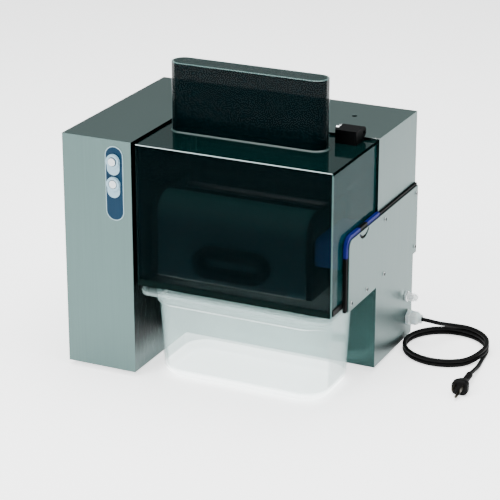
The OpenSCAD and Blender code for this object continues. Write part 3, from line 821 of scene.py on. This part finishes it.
# ---------- feed chute ----------
def add_chute():
    low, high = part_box("feed_chute")
    x, y = middle((low, high))[:2]
    width, depth = (high - low)[:2]
    wall, lip, bead_top = 0.004, 0.0009, 0.0023

    def ring(inset, z):
        d = depth - 2 * inset
        return (x, y, width - 2 * inset, d, d / 2 - 0.00002, z, 16)

    walls = [
        ring(0, low.z), ring(0, high.z - 0.0008), ring(0.0008, high.z),
        ring(wall - 0.0008, high.z), ring(wall, high.z - 0.0008), ring(wall, low.z),
    ]
    chute = loft("chute_walls", walls, closed=True, angle=40)
    bead = loft(
        "chute_bead",
        [ring(0, low.z + 0.0022), ring(-0.0022, low.z + 0.0004), ring(-0.0022, low.z),
         ring(0, low.z)],
        closed=True,
    )
    walls = join("chute_walls", [chute, bead])
    place(walls, "feed_chute", FINISHES["smoked_chute"])
    repaint(walls, FINISHES["smoked_edge"], lambda face: face.center.z > high.z - lip)
    repaint(walls, FINISHES["bead_edge"], lambda face: face.center.z < low.z + bead_top)


add_chute()


# ---------- grip ring ----------
def add_grip():
    low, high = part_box("grip_ring")
    centre = middle((low, high))
    width, height = high.x - low.x, high.z - low.z
    bar, soft = 0.013, 0.0042

    def ring(inset, y):
        h = height - 2 * inset
        return (centre.z, centre.x, h, width - 2 * inset, h / 2 - 0.00002, y, 14)

    sections = []
    for k in range(5):
        turn = math.radians(22.5 * k)
        inset = soft * (1 - math.sin(turn))
        sections.append(ring(inset, low.y + soft * (1 - math.cos(turn))))
    sections.append(ring(0, high.y))
    sections.append(ring(bar, high.y))
    for k in range(4, -1, -1):
        turn = math.radians(22.5 * k)
        inset = bar - soft * (1 - math.sin(turn))
        sections.append(ring(inset, low.y + soft * (1 - math.cos(turn))))
    grip = loft("pull_ring", sections, axis="y", closed=True, angle=50)
    place(grip, "grip_ring", FINISHES["black_plastic"])


add_grip()


# ---------- screws ----------
def screw_head(name, box, axis, outward):
    """A round head with a six-sided socket in its crown."""
    corners = 6
    centre = middle(box)
    k = "xyz".index(axis)
    size = box[1] - box[0]
    height = size[k]
    radius = max(size) / 2
    foot = box[0][k] if outward > 0 else box[1][k]

    def ring(share, rise, sides=24):
        level = foot + outward * height * rise
        return (0, 0, radius * share, level, sides)

    sections = [
        ring(0.96, 0), ring(1, 0.2), ring(0.97, 0.55), ring(0.86, 0.9), ring(0.74, 1),
        ring(0.68, 1, corners), ring(0.64, 0.45, corners),
    ]
    spot = [centre.x, centre.y, centre.z]
    spot[k] = 0
    head = loft(name, sections, spot, axis, angle=30)
    head.data.materials.append(FINISHES["steel_parts"])
    # The crown inside the steel rim is painted black, a painted shade in the socket.
    repaint(
        head, FINISHES["black_plastic"],
        lambda face: from_axis(face.center, centre, axis) < radius * 0.84,
    )
    return head


def screw_row(node, axis, outward):
    heads = [
        screw_head(node + "_head", box, axis, outward) for box in islands(node)
    ]
    place(join(node + "_heads", heads), node, None)


screw_row("side_plate_screws", "x", 1)
screw_row("back_panel_screws", "y", 1)


# ---------- feet ----------
def add_feet():
    pads = []
    for box in islands("feet"):
        centre = middle(box)
        radius = (box[1].x - box[0].x) / 2
        top = box[1].z
        profile = [
            (0.84, 0), (0.9, 0.0006), (0.92, 0.0022), (0.86, 0.003), (0.92, 0.0038),
            (0.99, top - 0.0004), (1, top),
        ]
        rings = [(0, 0, radius * share, z, 32) for share, z in profile]
        pads.append(loft("foot_pad", rings, (centre.x, centre.y, 0)))
    place(join("rubber_feet", pads), "feet", FINISHES["rubber_black"])


add_feet()


# ---------- controls ----------
def add_label():
    low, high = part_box("control_label")
    centre = middle((low, high))
    width, height = high.x - low.x, high.z - low.z

    def ring(inset, y):
        w = width - 2 * inset
        return (centre.z, centre.x, height - 2 * inset, w, w / 2 - 0.00002, y, 16)

    sections = [ring(0, high.y), ring(0, low.y + 0.0002), ring(0.0002, low.y)]
    label = loft("label_strip", sections, axis="y")
    label.data.materials.append(FINISHES["label_blue"])
    label.data.materials.append(FINISHES["label_edge"])
    only(label)
    select_faces(label, lambda face: face.normal.y < -0.9)
    bpy.ops.mesh.inset(thickness=0.0012, depth=-0.0002)
    bpy.ops.object.mode_set(mode="OBJECT")
    for face in label.data.polygons:
        face.material_index = 0 if face.select else 1
    place(label, "control_label", None)


def add_button(node, hollow):
    """A push button's cap and its stem; the cap is domed or dished."""
    low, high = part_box(node)
    centre = middle((low, high))
    cap = (high.x - low.x) / 2
    back = low.y + (0.0027 if hollow > 0 else 0.001)
    profile = [
        (0.74, high.y), (0.74, back), (0.96, back), (1, back - 0.0004),
        (1, low.y + 0.0006), (0.93, low.y + 0.0001), (0.72, low.y + hollow * 0.0001),
        (0.4, low.y + hollow * 0.0004), (0.15, low.y + hollow * 0.0005),
    ]
    rings = [(0, 0, cap * share, y, 32) for share, y in profile]
    button = loft(node + "_cap", rings, (centre.x, 0, centre.z), "y")
    place(button, node, finish_of(node))
    repaint(
        button, FINISHES["label_blue"],
        lambda face: from_axis(face.center, centre, "y") > cap * 0.9,
    )


add_label()
add_button("start_button", 1)
add_button("stop_button", 0)


# ---------- side fittings ----------
def frame_wall_x():
    """Where the body's right wall stands."""
    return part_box("rear_housing")[1].x


def add_gland():
    low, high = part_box("cable_gland")
    centre = middle((low, high))
    wall = frame_wall_x()
    lock_nut = [(low.x, 0.0078, 24), (low.x + 0.0004, 0.008, 24), (wall - 0.0066, 0.008, 24)]
    profile = lock_nut + [
        (wall - 0.0065, 0.0125, 6), (wall - 0.006, 0.0135, 6), (wall - 0.002, 0.0135, 6),
        (wall - 0.0015, 0.0125, 6), (wall - 0.0014, 0.008, 24), (wall, 0.008, 24),
        (wall, 0.0128, 6), (wall + 0.0006, 0.014, 6), (wall + 0.0064, 0.014, 6),
        (wall + 0.007, 0.0128, 6), (wall + 0.0071, 0.0108, 24), (wall + 0.0085, 0.011, 24),
        (high.x - 0.0105, 0.0109, 24), (high.x - 0.0070, 0.0102, 24),
        (high.x - 0.0045, 0.0088, 24), (high.x - 0.0038, 0.0075, 24),
        (high.x - 0.0004, 0.0074, 24), (high.x, 0.0070, 24), (high.x, 0.0042, 24),
        (high.x - 0.002, 0.0038, 24),
    ]
    rings = [(0, 0, r, x, corners) for x, r, corners in profile]
    body = loft("gland_body", rings, (0, centre.y, centre.z), "x", angle=28)
    ribs = []
    for k in range(12):
        turn = TAU * k / 12
        rib = (0.0106 * math.cos(turn), 0.0106 * math.sin(turn))
        rings = [
            (*rib, 0.0005, wall + 0.0074, 8), (*rib, 0.0009, wall + 0.0088, 8),
            (*rib, 0.0009, high.x - 0.0095, 8), (*rib, 0.0003, high.x - 0.0078, 8),
        ]
        ribs.append(loft("gland_rib", rings, (0, centre.y, centre.z), "x"))
    gland = join("gland_body", [body] + ribs)
    place(gland, "cable_gland", FINISHES["white_plastic"])


def add_reset():
    low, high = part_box("reset_boot")
    centre = middle((low, high))
    spot = (0, centre.y, centre.z)
    tip = high.x
    outer = [(low.x, 0.0072), (low.x + 0.0003, 0.0075), (low.x + 0.0016, 0.0075),
             (low.x + 0.0022, 0.0068), (low.x + 0.003, 0.0068)]
    inner = []
    for k in range(7):
        turn = math.radians(15 * k) * 0.98
        outer.append((tip - 0.0075 + 0.0075 * math.sin(turn), 0.0069 * math.cos(turn)))
        inner.append((tip - 0.0075 + 0.0061 * math.sin(turn), 0.0057 * math.cos(turn)))
    rings = [(0, 0, r, x, 32) for x, r in outer + inner[::-1] + [(low.x, 0.0058)]]
    boot = loft("reset_cap", rings, spot, "x", closed=True, angle=50)
    place(boot, "reset_boot", FINISHES["boot_clear"])
    low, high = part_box("reset_nut")
    wall = frame_wall_x()
    profile = [
        (low.x, 0.0058, 24), (low.x + 0.0003, 0.006, 24), (wall, 0.006, 24),
        (wall, 0.0086, 6), (wall + 0.0006, 0.0095, 6), (high.x - 0.0006, 0.0095, 6),
        (high.x, 0.0086, 6), (high.x, 0.0037, 24), (low.x, 0.0037, 24),
    ]
    rings = [(0, 0, r, x, corners) for x, r, corners in profile]
    nut = loft("reset_collar", rings, spot, "x", closed=True, angle=28)
    place(nut, "reset_nut", FINISHES["chrome_parts"])
    low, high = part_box("reset_button")
    profile = [
        (low.x, 0.0029), (low.x + 0.0003, 0.0032), (high.x - 0.0012, 0.0032),
        (high.x - 0.0003, 0.0026), (high.x, 0.0015),
    ]
    rings = [(0, 0, r, x, 24) for x, r in profile]
    stem = loft("reset_stem", rings, spot, "x")
    place(stem, "reset_button", finish_of("reset_button"))


add_gland()
add_reset()


# ---------- plug ----------
def plug_matrix():
    """The plug is drawn along its own length, then stands where the lead ends."""
    start = Vector(TAIL[-1]) * MM
    lean = Matrix.Rotation(math.radians(3), 4, "Z")
    return Matrix.Translation(start) @ lean @ Matrix.Rotation(math.radians(90), 4, "X")


def add_plug():
    sleeve = [(0, 0, 0.0040, 0, 20), (0, 0, 0.0053, 0.0006, 20)]
    for k in range(5):
        z = 0.003 + 0.0052 * k
        sleeve += [
            (0, 0, 0.0055, z, 20), (0, 0, 0.0055, z + 0.0022, 20),
            (0, 0, 0.0045, z + 0.0028, 20), (0, 0, 0.0045, z + 0.0044, 20),
        ]
    body = [
        (0, 0, 0.013, 0.012, 0.0055, 0.029, 5), (0, 0, 0.016, 0.0145, 0.006, 0.032, 5),
        (0, 0.0003, 0.021, 0.0185, 0.007, 0.039, 5), (0, 0.0005, 0.0248, 0.0218, 0.0075, 0.046, 5),
        (0, 0.0005, 0.026, 0.023, 0.0075, 0.0485, 5), (0, 0.0005, 0.026, 0.023, 0.0075, 0.0515, 5),
        (0, 0.0005, 0.0242, 0.0212, 0.007, 0.0522, 5), (0, 0.0005, 0.0242, 0.0212, 0.007, 0.0535, 5),
        (0, 0.0005, 0.026, 0.023, 0.0075, 0.0542, 5), (0, 0.0005, 0.026, 0.023, 0.0075, 0.0583, 5),
        (0, 0.0005, 0.0248, 0.0218, 0.0072, 0.059, 5),
    ]
    shell = join("plug_body", [loft("plug_sleeve", sleeve), loft("plug_body", body, angle=40)])
    pins = []
    for side in (-1, 1):
        x, y = side * 0.00635, 0.00415
        blade = [
            (x, y, 0.0015, 0.0063, 0.0003, 0.0588, 2), (x, y, 0.0015, 0.0063, 0.0003, 0.0748, 2),
            (x, y, 0.0009, 0.0052, 0.0002, 0.076, 2),
        ]
        pins.append(loft("plug_blade", blade))
    ground = [
        (0, -0.006, 0.0024, 0.0588, 20), (0, -0.006, 0.0024, 0.077, 20),
        (0, -0.006, 0.0018, 0.0784, 20), (0, -0.006, 0.0008, 0.079, 20),
    ]
    pins.append(loft("plug_ground", ground))
    prongs = join("plug_prongs", pins)
    for obj in (shell, prongs):
        obj.data.transform(plug_matrix())
    place(shell, "plug", FINISHES["cord_rubber"])
    place(prongs, "plug_pins", FINISHES["brass_pins"])
    return [shell, prongs]


plug_pieces = add_plug()


# ---------- inner parts keep the frame's own shape ----------
stood_for = {n for obj in bpy.data.objects for n in obj.get("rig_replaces", [])}
for node, obj in frame["nodes"].items():
    if node not in stood_for:
        obj.data.materials.clear()
        obj.data.materials.append(finish_of(node))
        slot_of(node)


# ---------- floor and lights ----------
def add_floor():
    calm()
    bpy.ops.mesh.primitive_plane_add(size=24, location=(0, 0, 0))
    floor = bpy.context.object
    floor.name = "studio_floor"
    paper = Finish("floor_paper", Base_Color=(0.86, 0.86, 0.86), Roughness=0.95)
    paper.drive(Specular_IOR_Level=0.0)
    paper.drive(Emission_Color=(1.0, 1.0, 1.0), Emission_Strength=1.5)
    floor.data.materials.append(paper.material)


def add_panel(name, place_at, aim, size, power):
    data = bpy.data.lights.new(name, "AREA")
    data.shape = "RECTANGLE"
    data.size, data.size_y = size
    data.energy = power
    lamp = bpy.data.objects.new(name, data)
    bpy.context.scene.collection.objects.link(lamp)
    lamp.location = place_at
    direction = Vector(aim) - Vector(place_at)
    lamp.rotation_euler = direction.to_track_quat("-Z", "Y").to_euler()


def add_world():
    world = bpy.data.worlds.new("studio")
    bpy.context.scene.world = world
    world.use_nodes = True
    shade_node = world.node_tree.nodes["Background"]
    shade_node.inputs["Color"].default_value = (0.93, 1.0, 0.99, 1)
    shade_node.inputs["Strength"].default_value = 0.45


add_floor()
add_world()
add_panel("overhead_panel", (0.1, 0.1, 2.6), (0, 0, 0), (2.6, 2.6), 195)
add_panel("front_panel", (-0.9, -2.3, 1.9), (0, 0, 0.2), (1.6, 1.6), 110)
add_panel("side_panel", (2.4, -0.4, 1.6), (0.2, 0, 0.2), (1.4, 1.4), 20)
